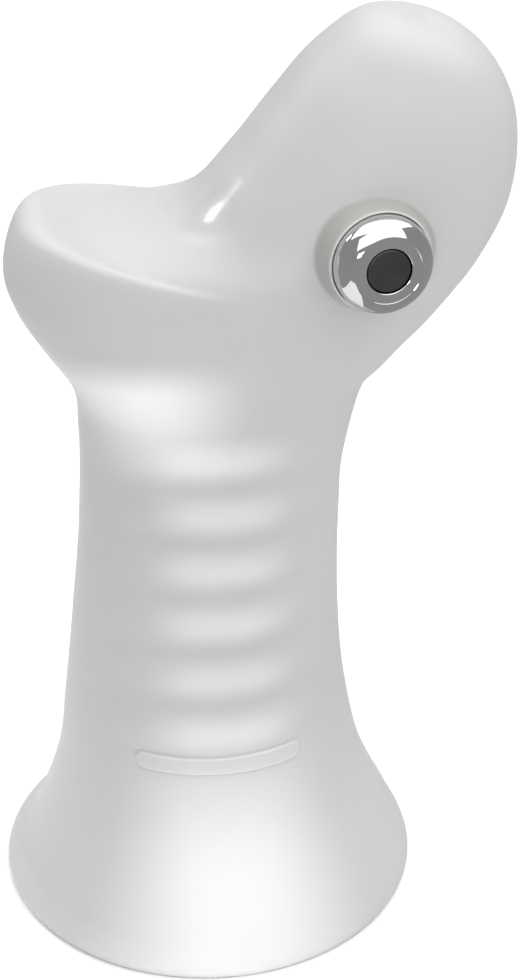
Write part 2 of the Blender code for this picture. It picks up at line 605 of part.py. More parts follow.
def main():
    clear_scene()
    axis = unit_axis()
    body = make_soft_body()
    cut(body, make_bar(), "UNION")
    cut(body, make_collar(axis), "UNION")
    cut(body, make_pocket(axis))
    make_case(axis)
    make_cap(axis)
    make_button(axis)
    make_switch(axis)
    make_spring(axis)
    make_cells(axis)
    make_motor(axis)
    make_cradle(axis)
    make_leads(axis)


main()
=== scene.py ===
import json
import math
import bpy
import numpy as np
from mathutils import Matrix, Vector
from mathutils.geometry import delaunay_2d_cdt

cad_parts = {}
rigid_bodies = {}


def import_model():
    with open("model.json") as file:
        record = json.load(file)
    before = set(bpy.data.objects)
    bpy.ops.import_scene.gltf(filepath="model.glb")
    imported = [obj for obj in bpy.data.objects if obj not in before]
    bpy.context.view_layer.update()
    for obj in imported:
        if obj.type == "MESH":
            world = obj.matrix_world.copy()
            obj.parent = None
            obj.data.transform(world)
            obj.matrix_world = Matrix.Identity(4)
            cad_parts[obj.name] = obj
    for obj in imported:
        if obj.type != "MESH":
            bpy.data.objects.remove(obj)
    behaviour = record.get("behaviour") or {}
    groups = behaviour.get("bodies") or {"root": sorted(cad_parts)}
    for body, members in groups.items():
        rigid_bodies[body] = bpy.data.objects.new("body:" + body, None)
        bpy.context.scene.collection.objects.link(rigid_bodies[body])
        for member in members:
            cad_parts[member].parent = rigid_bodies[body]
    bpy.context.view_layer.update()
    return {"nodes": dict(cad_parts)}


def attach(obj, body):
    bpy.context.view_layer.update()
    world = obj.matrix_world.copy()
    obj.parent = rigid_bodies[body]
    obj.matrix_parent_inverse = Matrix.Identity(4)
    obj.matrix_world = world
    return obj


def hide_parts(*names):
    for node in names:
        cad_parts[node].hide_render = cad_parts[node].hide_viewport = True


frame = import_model()
print("frame loaded:", len(frame["nodes"]), "nodes")

# shared helpers

def smoothStep(low, high, value):  # 0 below low, 1 above high, eased between
    t = np.clip((value - low) / (high - low), 0, 1)
    return t * t * (3 - 2 * t)


def splineRows(keys, values, wanted):
    # cubic through the rows of values; a slope is the mean of its two steps, weighted by the other's length
    steps = np.diff(keys)[:, None]
    slopes = np.diff(values, axis=0) / steps
    ends = np.empty_like(values)
    ends[1:-1] = (slopes[:-1] * steps[1:] + slopes[1:] * steps[:-1]) / (steps[:-1] + steps[1:])
    ends[0] = slopes[0]
    ends[-1] = 2 * slopes[-1] - ends[-2]
    index = np.clip(np.searchsorted(keys, wanted, side="right") - 1, 0, len(keys) - 2)
    span = (keys[index + 1] - keys[index])[:, None]
    u = (wanted - keys[index])[:, None] / span
    start = (2 * u**3 - 3 * u**2 + 1) * values[index] + (u**3 - 2 * u**2 + u) * span * ends[index]
    finish = (3 * u**2 - 2 * u**3) * values[index + 1] + (u**3 - u**2) * span * ends[index + 1]
    return start + finish


def spreadBy(density, count):
    # count values from 0 to 1, packed closer where density is higher: the inverse of its running sum
    fine = np.linspace(0, 1, 4001)
    weight = density(fine)
    total = np.concatenate([[0.0], np.cumsum((weight[1:] + weight[:-1]) / 2)])
    return np.interp(np.linspace(0, 1, count), total / total[-1], fine)


def ringQuads(first, second):
    # quads between two closed rings of vertex numbers, joined in order
    return np.stack([first, np.roll(first, -1), np.roll(second, -1), second], -1)


def ringFan(ring, centre):
    # triangles from a closed ring to one centre vertex
    return np.stack([ring, np.roll(ring, -1), np.full_like(ring, centre)], -1)


def facingOut(points, faceSets):
    # signed volume of all faces; a negative sum means the shell is inside out and every face is turned
    volume = 0.0
    for faces in faceSets:
        a = points[faces[:, 0]]
        for k in range(1, faces.shape[1] - 1):
            volume += np.einsum("ij,ij->i", a, np.cross(points[faces[:, k]], points[faces[:, k + 1]])).sum()
    return faceSets if volume > 0 else [faces[:, ::-1] for faces in faceSets]


def addPiece(name, points, faceSets, material, body, replaced=(), sharpAngle=None):
    faceSets = facingOut(points, faceSets)
    used, inverse = np.unique(np.concatenate([f.ravel() for f in faceSets]), return_inverse=True)
    cuts = np.cumsum([f.size for f in faceSets])[:-1]
    parts = [p.reshape(-1, f.shape[1]) for p, f in zip(np.split(inverse, cuts), faceSets)]
    mesh = bpy.data.meshes.new(name)
    mesh.from_pydata(points[used].tolist(), [], [face for part in parts for face in part.tolist()])
    mesh.polygons.foreach_set("use_smooth", np.ones(len(mesh.polygons), bool))
    if sharpAngle:
        mesh.set_sharp_from_angle(angle=math.radians(sharpAngle))
    mesh.update()
    piece = bpy.data.objects.new(name, mesh)
    mesh.materials.append(material)
    bpy.context.scene.collection.objects.link(piece)
    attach(piece, body)
    if replaced:
        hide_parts(*replaced)
    return piece


# node groups and materials

def groupSocket(group, name, inOut, kind, value=None):
    socket = group.interface.new_socket(name=name, in_out=inOut, socket_type=kind)
    if value is not None:
        socket.default_value = value


def newNode(tree, kind, place, **settings):
    made = tree.nodes.new(kind)
    made.location = place
    for key, value in settings.items():
        setattr(made, key, value)
    return made


def mathNode(tree, operation, place, first, second=None):
    made = newNode(tree, "ShaderNodeMath", place, operation=operation)
    for index, value in enumerate((first, second)):
        if value is None:
            continue
        if isinstance(value, (int, float)):
            made.inputs[index].default_value = value
        else:
            tree.links.new(value, made.inputs[index])
    return made.outputs[0]


def makeMottleGroup():
    # two noise sizes mixed: Cloud is the slow one, Grain the fine one, Height joins them for a bump
    group = bpy.data.node_groups.new("mottleAndGrain", "ShaderNodeTree")
    groupSocket(group, "Position", "INPUT", "NodeSocketVector")
    groupSocket(group, "Cloud Size", "INPUT", "NodeSocketFloat", 40.0)
    groupSocket(group, "Grain Size", "INPUT", "NodeSocketFloat", 900.0)
    groupSocket(group, "Grain Share", "INPUT", "NodeSocketFloat", 0.3)
    groupSocket(group, "Cloud", "OUTPUT", "NodeSocketFloat")
    groupSocket(group, "Grain", "OUTPUT", "NodeSocketFloat")
    groupSocket(group, "Height", "OUTPUT", "NodeSocketFloat")
    source = newNode(group, "NodeGroupInput", (-700, 0))
    target = newNode(group, "NodeGroupOutput", (500, 0))
    cloud = newNode(group, "ShaderNodeTexNoise", (-400, 160))
    cloud.inputs["Detail"].default_value = 3.0
    grain = newNode(group, "ShaderNodeTexNoise", (-400, -160))
    grain.inputs["Detail"].default_value = 4.0
    for node, size in ((cloud, "Cloud Size"), (grain, "Grain Size")):
        group.links.new(source.outputs["Position"], node.inputs["Vector"])
        group.links.new(source.outputs[size], node.inputs["Scale"])
    part = mathNode(group, "MULTIPLY", (-100, -160), grain.outputs["Fac"], source.outputs["Grain Share"])
    height = mathNode(group, "ADD", (150, 0), cloud.outputs["Fac"], part)
    group.links.new(cloud.outputs["Fac"], target.inputs["Cloud"])
    group.links.new(grain.outputs["Fac"], target.inputs["Grain"])
    group.links.new(height, target.inputs["Height"])
    return group


def makeSmearGroup():
    # long thin noise lying along one axis, pushed to contrast: wipe marks and drawn metal lines
    group = bpy.data.node_groups.new("wipeLines", "ShaderNodeTree")
    groupSocket(group, "Position", "INPUT", "NodeSocketVector")
    groupSocket(group, "Stretch", "INPUT", "NodeSocketVector", (1.0, 1.0, 1.0))
    groupSocket(group, "Size", "INPUT", "NodeSocketFloat", 200.0)
    groupSocket(group, "Low", "INPUT", "NodeSocketFloat", 0.4)
    groupSocket(group, "High", "INPUT", "NodeSocketFloat", 0.6)
    groupSocket(group, "Lines", "OUTPUT", "NodeSocketFloat")
    source = newNode(group, "NodeGroupInput", (-700, 0))
    target = newNode(group, "NodeGroupOutput", (400, 0))
    scaled = newNode(group, "ShaderNodeVectorMath", (-480, 0), operation="MULTIPLY")
    group.links.new(source.outputs["Position"], scaled.inputs[0])
    group.links.new(source.outputs["Stretch"], scaled.inputs[1])
    noise = newNode(group, "ShaderNodeTexNoise", (-250, 0))
    noise.inputs["Detail"].default_value = 3.0
    group.links.new(scaled.outputs[0], noise.inputs["Vector"])
    group.links.new(source.outputs["Size"], noise.inputs["Scale"])
    ranged = newNode(group, "ShaderNodeMapRange", (0, 0), interpolation_type="SMOOTHSTEP")
    group.links.new(noise.outputs["Fac"], ranged.inputs["Value"])
    group.links.new(source.outputs["Low"], ranged.inputs["From Min"])
    group.links.new(source.outputs["High"], ranged.inputs["From Max"])
    group.links.new(ranged.outputs["Result"], target.inputs["Lines"])
    return group


mottleGroup = makeMottleGroup()
smearGroup = makeSmearGroup()


def startMaterial(name, metallic=0.0, ior=1.5):
    made = bpy.data.materials.new(name)
    made.use_nodes = True
    tree = made.node_tree
    tree.nodes.clear()
    shader = newNode(tree, "ShaderNodeBsdfPrincipled", (300, 0))
    output = newNode(tree, "ShaderNodeOutputMaterial", (620, 0))
    tree.links.new(shader.outputs["BSDF"], output.inputs["Surface"])
    shader.inputs["Metallic"].default_value = metallic
    shader.inputs["IOR"].default_value = ior
    place = newNode(tree, "ShaderNodeTexCoord", (-1000, 0))
    return made, tree, shader, place.outputs["Object"]


def blendColour(tree, factor, low, high, place):
    mix = newNode(tree, "ShaderNodeMix", place, data_type="RGBA")
    mix.inputs["A"].default_value = (*low, 1.0)
    mix.inputs["B"].default_value = (*high, 1.0)
    tree.links.new(factor, mix.inputs["Factor"])
    return mix.outputs["Result"]


def blendBetween(tree, factor, first, second, place):
    mix = newNode(tree, "ShaderNodeMix", place, data_type="RGBA")
    tree.links.new(first, mix.inputs["A"])
    mix.inputs["B"].default_value = (*second, 1.0)
    tree.links.new(factor, mix.inputs["Factor"])
    return mix.outputs["Result"]


def mapTo(tree, value, low, high, place, fromLow=0.0, fromHigh=1.0):
    ranged = newNode(tree, "ShaderNodeMapRange", place)
    ranged.inputs["From Min"].default_value = fromLow
    ranged.inputs["From Max"].default_value = fromHigh
    ranged.inputs["To Min"].default_value = low
    ranged.inputs["To Max"].default_value = high
    tree.links.new(value, ranged.inputs["Value"])
    return ranged.outputs["Result"]


def bumpFrom(tree, height, shader, strength, distance, place=(60, -350)):
    bump = newNode(tree, "ShaderNodeBump", place)
    bump.inputs["Strength"].default_value = strength
    bump.inputs["Distance"].default_value = distance
    tree.links.new(height, bump.inputs["Height"])
    tree.links.new(bump.outputs["Normal"], shader.inputs["Normal"])


def placeGroup(tree, group, position, place, **values):
    node = newNode(tree, "ShaderNodeGroup", place, node_tree=group)
    tree.links.new(position, node.inputs["Position"])
    for key, value in values.items():
        node.inputs[key].default_value = value
    return node


softLook = {
    "headColour": (0.490, 0.487, 0.482), "cloudColour": (0.525, 0.522, 0.518),
    # painted light: the foot colour lightens the lowest part of the body, standing in for light from the
    # floor coming up through it
    "footGlowColour": (0.54, 0.54, 0.55),
    # painted highlight: a lighter colour on the rib and roll crests and on the front of the foot
    "highlightColour": (0.78, 0.78, 0.785), "ribHighlight": 0.42, "ribBeside": (8, 38),
    "rollHighlight": 1.0, "frontTop": 0.060, "frontBeside": (6, 50),
    # painted shade: the wall colour darkens the collar wall and the pocket round the unit
    "footTop": 0.052, "footFull": 0.016, "collarShadeColour": (0.36, 0.355, 0.345),
    "roughLow": 0.42, "roughHigh": 0.52, "scatterWeight": 1.0, "scatterDepth": 0.0018,
    "coatWeight": 0.0, "coatRough": 0.16, "polishPlace": (0.0003, -0.0099, 0.1489), "polishReach": 0.0085,
    "cloudSize": 28.0, "grainSize": 1500.0, "bumpStrength": 0.10, "bumpDistance": 0.0004,
}


def milkyElastomer():
    made, tree, shader, position = startMaterial("milkyElastomer", ior=1.41)
    mottle = placeGroup(tree, mottleGroup, position, (-700, 0),
                        **{"Cloud Size": softLook["cloudSize"], "Grain Size": softLook["grainSize"],
                           "Grain Share": 0.12})
    cloud = mottle.outputs["Cloud"]
    head = blendColour(tree, cloud, softLook["headColour"], softLook["cloudColour"], (-450, 350))
    parts = newNode(tree, "ShaderNodeSeparateXYZ", (-700, 500))
    tree.links.new(position, parts.inputs["Vector"])
    # painted light: towards the floor the colour turns lighter and a little bluer, standing in for light
    # rising through the body from the floor
    foot = newNode(tree, "ShaderNodeMapRange", (-450, 600), interpolation_type="SMOOTHSTEP")
    foot.inputs["From Min"].default_value = softLook["footTop"]
    foot.inputs["From Max"].default_value = softLook["footFull"]
    tree.links.new(parts.outputs["Z"], foot.inputs["Value"])
    lower = blendBetween(tree, foot.outputs["Result"], head, softLook["footGlowColour"], (-220, 400))
    # painted highlight: lighter colour on the crests of the ribs and the roll and on the front of the foot
    paintedHighlight = newNode(tree, "ShaderNodeAttribute", (-450, 1000), attribute_name="paintedHighlight")
    highlighted = blendBetween(tree, paintedHighlight.outputs["Fac"], lower, softLook["highlightColour"], (-110, 500))
    # painted shade: a darker colour on the collar wall and in the pocket round the unit
    wall = newNode(tree, "ShaderNodeAttribute", (-450, 800), attribute_name="collarShade")
    colour = blendBetween(tree, wall.outputs["Fac"], highlighted, softLook["collarShadeColour"], (0, 400))
    tree.links.new(colour, shader.inputs["Base Color"])
    rough = mapTo(tree, cloud, softLook["roughLow"], softLook["roughHigh"], (-250, -50), 0.3, 0.7)
    tree.links.new(rough, shader.inputs["Roughness"])
    bumpFrom(tree, mottle.outputs["Height"], shader, softLook["bumpStrength"], softLook["bumpDistance"])
    shader.inputs["Subsurface Weight"].default_value = softLook["scatterWeight"]
    shader.inputs["Subsurface Radius"].default_value = (1.0, 0.98, 0.95)
    shader.inputs["Subsurface Scale"].default_value = softLook["scatterDepth"]
    away = newNode(tree, "ShaderNodeVectorMath", (-700, -400), operation="DISTANCE")
    away.inputs[1].default_value = softLook["polishPlace"]
    tree.links.new(position, away.inputs[0])
    polish = mapTo(tree, away.outputs["Value"], 1.0, softLook["coatWeight"], (-450, -400),
                   softLook["polishReach"] * 0.55, softLook["polishReach"])
    tree.links.new(polish, shader.inputs["Coat Weight"])
    shader.inputs["Coat Roughness"].default_value = softLook["coatRough"]
    return made


chromeLook = {"colour": (0.64, 0.64, 0.64), "wornColour": (0.57, 0.57, 0.565),
              "roughLow": 0.03, "roughHigh": 0.12}


def polishedChrome():
    made, tree, shader, position = startMaterial("polishedChrome", metallic=1.0)
    mottle = placeGroup(tree, mottleGroup, position, (-700, 150),
                        **{"Cloud Size": 160.0, "Grain Size": 4000.0, "Grain Share": 0.05})
    wipes = placeGroup(tree, smearGroup, position, (-700, -150),
                       **{"Stretch": (1.0, 0.5, 4.0), "Size": 420.0, "Low": 0.50, "High": 0.72})
    colour = blendColour(tree, mottle.outputs["Cloud"], chromeLook["wornColour"], chromeLook["colour"],
                         (-250, 250))
    tree.links.new(colour, shader.inputs["Base Color"])
    joined = mathNode(tree, "MULTIPLY", (-450, -100), wipes.outputs["Lines"], mottle.outputs["Cloud"])
    rough = mapTo(tree, joined, chromeLook["roughLow"], chromeLook["roughHigh"], (-250, -100))
    tree.links.new(rough, shader.inputs["Roughness"])
    bumpFrom(tree, mottle.outputs["Cloud"], shader, 0.12, 0.0002)
    return made


def blackPlastic(name="satinBlack", tone=0.018, rough=(0.28, 0.42)):
    made, tree, shader, position = startMaterial(name, ior=1.5)
    mottle = placeGroup(tree, mottleGroup, position, (-700, 0),
                        **{"Cloud Size": 300.0, "Grain Size": 5200.0, "Grain Share": 0.5})
    colour = blendColour(tree, mottle.outputs["Cloud"], (tone * 0.7,) * 3, (tone * 1.5,) * 3, (-250, 200))
    tree.links.new(colour, shader.inputs["Base Color"])
    tree.links.new(mapTo(tree, mottle.outputs["Grain"], *rough, (-250, -50)), shader.inputs["Roughness"])
    bumpFrom(tree, mottle.outputs["Height"], shader, 0.2, 0.0001)
    return made


def mouldedPlastic(name, low, high):
    made, tree, shader, position = startMaterial(name, ior=1.49)
    mottle = placeGroup(tree, mottleGroup, position, (-700, 0),
                        **{"Cloud Size": 220.0, "Grain Size": 3800.0, "Grain Share": 0.4})
    colour = blendColour(tree, mottle.outputs["Cloud"], low, high, (-250, 200))
    tree.links.new(colour, shader.inputs["Base Color"])
    tree.links.new(mapTo(tree, mottle.outputs["Grain"], 0.42, 0.6, (-250, -50)), shader.inputs["Roughness"])
    bumpFrom(tree, mottle.outputs["Height"], shader, 0.25, 0.0001)
    return made


def drawnMetal(name, low, high, rough=(0.22, 0.4)):
    made, tree, shader, position = startMaterial(name, metallic=1.0)
    lines = placeGroup(tree, smearGroup, position, (-700, 0),
                       **{"Stretch": (6.0, 0.5, 6.0), "Size": 900.0, "Low": 0.3, "High": 0.7})
    colour = blendColour(tree, lines.outputs["Lines"], low, high, (-250, 200))
    tree.links.new(colour, shader.inputs["Base Color"])
    tree.links.new(mapTo(tree, lines.outputs["Lines"], *rough, (-250, -50)), shader.inputs["Roughness"])
    bumpFrom(tree, lines.outputs["Lines"], shader, 0.15, 0.00005)
    return made


softMaterial = milkyElastomer()
chromeMaterial = polishedChrome()
buttonMaterial = blackPlastic()
sealMaterial = blackPlastic("sealRubber", 0.012, (0.45, 0.6))
whiteMaterial = mouldedPlastic("whiteMoulding", (0.74, 0.74, 0.72), (0.84, 0.84, 0.82))
boardMaterial = mouldedPlastic("boardMask", (0.02, 0.16, 0.05), (0.04, 0.26, 0.09))
redMaterial = mouldedPlastic("redInsulation", (0.45, 0.02, 0.015), (0.62, 0.03, 0.02))
magnetMaterial = mouldedPlastic("magnetPowder", (0.06, 0.06, 0.065), (0.12, 0.12, 0.125))
steelMaterial = drawnMetal("drawnSteel", (0.50, 0.50, 0.51), (0.66, 0.66, 0.67))
cellMaterial = drawnMetal("cellSteel", (0.58, 0.58, 0.57), (0.72, 0.72, 0.71), (0.18, 0.32))
brassMaterial = drawnMetal("contactBrass", (0.62, 0.45, 0.18), (0.80, 0.62, 0.32))
heavyMaterial = drawnMetal("sinteredWeight", (0.32, 0.31, 0.30), (0.46, 0.45, 0.43), (0.4, 0.6))
print("materials made:", len(bpy.data.materials))

# soft body

bodySize = {
    "height": 0.1814, "halfWidth": 0.0560, "footRadius": 0.042,
    "neckHalfDepth": 0.0236, "headHalfDepth": 0.024,
    "ribCount": 6, "ribLowest": 0.0487, "ribPitch": 0.0115, "ribHeight": 0.0012,
    "ribFull": 22.0, "ribEnd": 56.0,
    "barCentre": 0.0420, "barHeight": 0.0034, "barHalfAngle": 34.0, "barProud": 0.0005, "barEdge": 0.0004,
    "rollTop": 0.1275, "rollCrest": 0.1195, "rollLowest": 0.0950, "rollTurn": -32.0, "rollSpread": 52.0,
    "rollProud": 0.0018,
    "rows": 300, "columns": 220,
}
sectionShares = (  # left edge across and up, right edge across and up, half depth, squareness, foot to crown
    (-0.755, 0.000, 0.721, 0.000, "footRadius", 0.986, 2.00),
    (-0.764, 0.006, 0.730, 0.006, "footRadius", 1.000, 2.00),
    (-0.692, 0.033, 0.678, 0.052, "footRadius", 0.960, 2.00),
    (-0.612, 0.094, 0.623, 0.087, "footRadius", 0.867, 2.00),
    (-0.557, 0.154, 0.548, 0.144, "footRadius", 0.752, 2.00),
    (-0.526, 0.229, 0.486, 0.234, "footRadius", 0.681, 2.00),
    (-0.484, 0.346, 0.453, 0.342, "footRadius", 0.619, 2.00),
    (-0.449, 0.463, 0.451, 0.462, "neckHalfDepth", 1.017, 2.00),
    (-0.440, 0.562, 0.465, 0.534, "neckHalfDepth", 1.000, 2.00),
    (-0.466, 0.626, 0.530, 0.616, "neckHalfDepth", 1.000, 2.04),
    (-0.633, 0.712, 0.609, 0.642, "headHalfDepth", 1.000, 2.15),
    (-0.662, 0.754, 0.677, 0.668, "headHalfDepth", 1.000, 2.35),
    (-0.601, 0.806, 0.725, 0.685, "headHalfDepth", 1.000, 2.50),
    (-0.387, 0.795, 0.814, 0.721, "headHalfDepth", 1.000, 2.50),
    (-0.083, 0.807, 0.904, 0.765, "headHalfDepth", 1.000, 2.50),
    (0.077, 0.855, 0.981, 0.817, "headHalfDepth", 0.987, 2.45),
    (0.205, 0.907, 1.005, 0.871, "headHalfDepth", 0.908, 2.40),
    (0.353, 0.963, 0.977, 0.924, "headHalfDepth", 0.758, 2.30),
    (0.508, 0.997, 0.886, 0.966, "headHalfDepth", 0.550, 2.20),
    (0.590, 1.000, 0.805, 0.984, "headHalfDepth", 0.342, 2.10),
    (0.708, 0.990, 0.708, 0.990, "headHalfDepth", 0.000, 2.00),
)
sectionTable = np.array([
    (a * bodySize["halfWidth"], b * bodySize["height"], c * bodySize["halfWidth"], d * bodySize["height"],
     bodySize[depthName] * share, power) for a, b, c, d, depthName, share, power in sectionShares])
leftSteps = np.linalg.norm(np.diff(sectionTable[:, 0:2], axis=0), axis=1)
rightSteps = np.linalg.norm(np.diff(sectionTable[:, 2:4], axis=0), axis=1)
sectionKeys = np.concatenate([[0.0], np.cumsum((leftSteps + rightSteps) / 2)])
sectionKeys = sectionKeys / sectionKeys[-1]


def bodySurface(share, turn):
    # each section is a squared ellipse between its left and right edge: middle + half chord x sin(turn) and
    # depth x cos(turn), both swelled by (|sin|^n + |cos|^n)^(-1/n), where n is the section's squareness
    rows = splineRows(sectionKeys, sectionTable, share)
    depth = np.maximum(rows[:, 4], 0.0)
    across, front, power = np.sin(turn), np.cos(turn), rows[:, 5]
    swell = (np.abs(across) ** power + np.abs(front) ** power) ** (-1 / power)
    across, front = across * swell, front * swell
    x = (rows[:, 0] + rows[:, 2]) / 2 + (rows[:, 2] - rows[:, 0]) / 2 * across
    z = (rows[:, 1] + rows[:, 3]) / 2 + (rows[:, 3] - rows[:, 1]) / 2 * across
    return np.stack([x, -depth * front, z], -1)


def ribLift(height, turn):
    # raised cosine waves along the height, eased out to both sides and at the first and last rib
    low = bodySize["ribLowest"] - bodySize["ribPitch"] / 2
    high = low + bodySize["ribCount"] * bodySize["ribPitch"]
    wave = 0.5 + 0.5 * np.cos(2 * np.pi * (height - bodySize["ribLowest"]) / bodySize["ribPitch"])
    inside = (height > low) & (height < high)
    fade = 1 - smoothStep(bodySize["ribFull"], bodySize["ribEnd"], np.degrees(np.abs(turn)))
    return bodySize["ribHeight"] * wave * inside * fade


def rollLift(height, turn):
    # one roll where the neck meets the lobe: steep above its crest, long below, eased out to both sides
    above = 1 - smoothStep(bodySize["rollCrest"], bodySize["rollTop"], height)
    below = smoothStep(bodySize["rollLowest"], bodySize["rollCrest"], height)
    beside = 1 - smoothStep(0, bodySize["rollSpread"], np.abs(np.degrees(turn) - bodySize["rollTurn"]))
    return bodySize["rollProud"] * above * below * beside


def barLift(height, turn):
    # distance to a flat-sided bar with round ends, measured round the front
    # full height inside, eased at its edge
    columnRadius = bodySize["footRadius"] * 0.68
    around = np.abs(turn) * columnRadius
    straight = math.radians(bodySize["barHalfAngle"]) * columnRadius - bodySize["barHeight"] / 2
    far = np.hypot(np.maximum(around - straight, 0), height - bodySize["barCentre"])
    return bodySize["barProud"] * (1 - smoothStep(-bodySize["barEdge"] / 2, bodySize["barEdge"] / 2,
                                                  far - bodySize["barHeight"] / 2))


unitSize = {
    "aside": 0.4929, "up": 0.8021, "turn": 9.0, "tilt": 2.0, "length": 0.0490,
    "proud": 0.0072, "radius": 0.0089,
    "gap": 0.0001, "collarHeight": 0.0027, "collarReach": 0.0116, "collarMargin": 0.0016,
    "collarOuter": 0.0105, "collarLip": 0.0094, "lipRound": 0.0003,
}
collarWall = (  # way in from the reach to the lip, way up from the head to the lip, both as shares
    (0.00, 0.00), (0.20, 0.005), (0.36, 0.02), (0.47, 0.07), (0.55, 0.17), (0.63, 0.32), (0.74, 0.54),
    (0.86, 0.77), (0.95, 0.93), (1.00, 1.00),
)
unitTurn, unitTilt = math.radians(unitSize["turn"]), math.radians(unitSize["tilt"])
unitOut = np.array([math.sin(unitTurn) * math.cos(unitTilt), -math.cos(unitTurn) * math.cos(unitTilt),
                    math.sin(unitTilt)])
unitSide = np.cross([0.0, 0.0, 1.0], unitOut)
unitSide /= np.linalg.norm(unitSide)
unitOver = np.cross(unitOut, unitSide)
unitFace = np.array([unitSize["aside"] * bodySize["halfWidth"], -bodySize["headHalfDepth"],
                     unitSize["up"] * bodySize["height"]])
unitTip = unitFace - unitOut * (unitSize["length"] - unitSize["proud"])


def alongUnit(points):  # place of each point in the unit's own axes: aside, over, out from the tip
    away = points - unitTip
    return away @ unitSide, away @ unitOver, away @ unitOut


def fromUnit(aside, over, out):
    return unitTip + aside[..., None] * unitSide + over[..., None] * unitOver + out[..., None] * unitOut


def surfaceUnder(aside, over, share, turn):
    # Newton steps on (share, turn) until the soft surface lies under the wanted place beside the unit's axis
    step = 1e-4
    for _ in range(12):
        a0, b0, _out = alongUnit(bodySurface(share, turn))
        a1, b1, _out = alongUnit(bodySurface(share + step, turn))
        a2, b2, _out = alongUnit(bodySurface(share, turn + step))
        ja, jb, ka, kb = (a1 - a0) / step, (b1 - b0) / step, (a2 - a0) / step, (b2 - b0) / step
        det = ja * kb - ka * jb
        ea, eb = aside - a0, over - b0
        share = share + np.clip((ea * kb - ka * eb) / det, -0.03, 0.03)
        turn = turn + np.clip((ja * eb - ea * jb) / det, -0.15, 0.15)
    return alongUnit(bodySurface(share, turn))[2]


def boundaryOf(faces):
    # edges used by one face only, followed end to end into one closed loop of vertex numbers
    edges = np.stack([faces, np.roll(faces, -1, 1)], -1).reshape(-1, 2)
    code, back = edges[:, 0] * 10**7 + edges[:, 1], edges[:, 1] * 10**7 + edges[:, 0]
    follow = dict(edges[~np.isin(code, back)].tolist())
    loop = [next(iter(follow))]
    while follow[loop[-1]] != loop[0]:
        loop.append(follow[loop[-1]])
    return np.array(loop)


def smoothAngles(aside, over):
    # the loop's own angles made even: running mean of their drift from equal steps
    angle = np.unwrap(np.arctan2(over, aside))
    turnWay = np.sign(angle[-1] - angle[0])
    even = turnWay * 2 * np.pi * np.arange(len(angle)) / len(angle)
    drift = angle - even
    width = len(angle) // 16
    kernel = np.hanning(2 * width + 3)[1:-1]
    padded = np.concatenate([drift[-width:], drift, drift[:width]])
    return even + np.convolve(padded, kernel / kernel.sum(), "valid")


def collarRings(edgeAside, edgeOver, share, turn, nearest, shareGrid, turnGrid):
    # from the grid's stepped hole to a circle on the surface, up the collar, over its lip and down the pocket
    centreShare, centreTurn = shareGrid[nearest], turnGrid[nearest]
    angle = smoothAngles(edgeAside, edgeOver)
    rings = []
    reach = unitSize["collarReach"]
    edgeFar = np.hypot(edgeAside, edgeOver)
    def groundAt(aside, over, r):
        near = 1 - r / edgeFar
        return surfaceUnder(aside, over, share + (centreShare - share) * near,
                            turn + (centreTurn - turn) * near)
    for r in np.linspace(edgeFar.min() - 0.0005, reach, 4):
        aside, over = r * np.cos(angle), r * np.sin(angle)
        rings.append((aside, over, groundAt(aside, over, r)))
    pocket = unitSize["radius"] + unitSize["gap"]
    lip = unitSize["length"] - unitSize["proud"] + unitSize["collarHeight"]
    inner, edge = unitSize["collarLip"], unitSize["lipRound"]
    wall = np.array(collarWall)
    steps = np.diff(wall, axis=0) * (reach - inner, unitSize["collarHeight"])
    runs = np.concatenate([[0.0], np.cumsum(np.linalg.norm(steps, axis=1))])
    for r, g in splineRows(runs, wall, np.linspace(0, runs[-1], 26)[1:]):
        r = reach + (inner - reach) * r
        aside, over = r * np.cos(angle), r * np.sin(angle)
        ground = groundAt(aside, over, r)
        rings.append((aside, over, ground + g * (lip - edge - ground)))
    middle, half = (inner + pocket) / 2, (inner - pocket) / 2
    for a in np.radians(np.linspace(12, 168, 8)):
        r = middle + half * math.cos(a)
        out = np.full_like(angle, lip - edge + edge * math.sin(a))
        rings.append((r * np.cos(angle), r * np.sin(angle), out))
    for out in np.linspace(lip - 0.0006, unitSize["radius"], 16):
        rings.append((pocket * np.cos(angle), pocket * np.sin(angle), np.full_like(angle, out)))
    for a in np.radians(np.linspace(8, 88, 11)):
        r = pocket * math.cos(a)
        out = np.full_like(angle, unitSize["radius"] - pocket * math.sin(a))
        rings.append((r * np.cos(angle), r * np.sin(angle), out))
    return rings


def fillBetween(loopAside, loopOver, ringAside, ringOver):
    # triangles between the stepped hole and the circle inside it, wound the way the ring quads are wound
    count = len(loopAside)
    step = np.arange(count)
    edges = np.stack([step, np.roll(step, -1)], -1)
    edges = np.concatenate([edges, edges + count])
    flat = np.stack([np.concatenate([loopAside, ringAside]), np.concatenate([loopOver, ringOver])], -1)
    places = [Vector(place) for place in (flat * 1000).tolist()]  # millimetres
    found = delaunay_2d_cdt(places, edges.tolist(), [], 1, 1e-6)
    faces = np.array([given[0] for given in found[3]])[np.array(found[2])]
    faces = faces[(faces < count).any(1)]
    area = np.sum(loopAside * np.roll(loopOver, -1) - loopOver * np.roll(loopAside, -1))
    return faces if area > 0 else faces[:, ::-1]


def cornersOf(piece):
    corner = np.empty(len(piece.data.vertices) * 3)
    piece.data.vertices.foreach_get("co", corner)
    return corner.reshape(-1, 3)


def addMark(piece, name, value):
    attribute = piece.data.attributes.new(name, "FLOAT", "POINT")
    attribute.data.foreach_set("value", value.astype(np.float32))


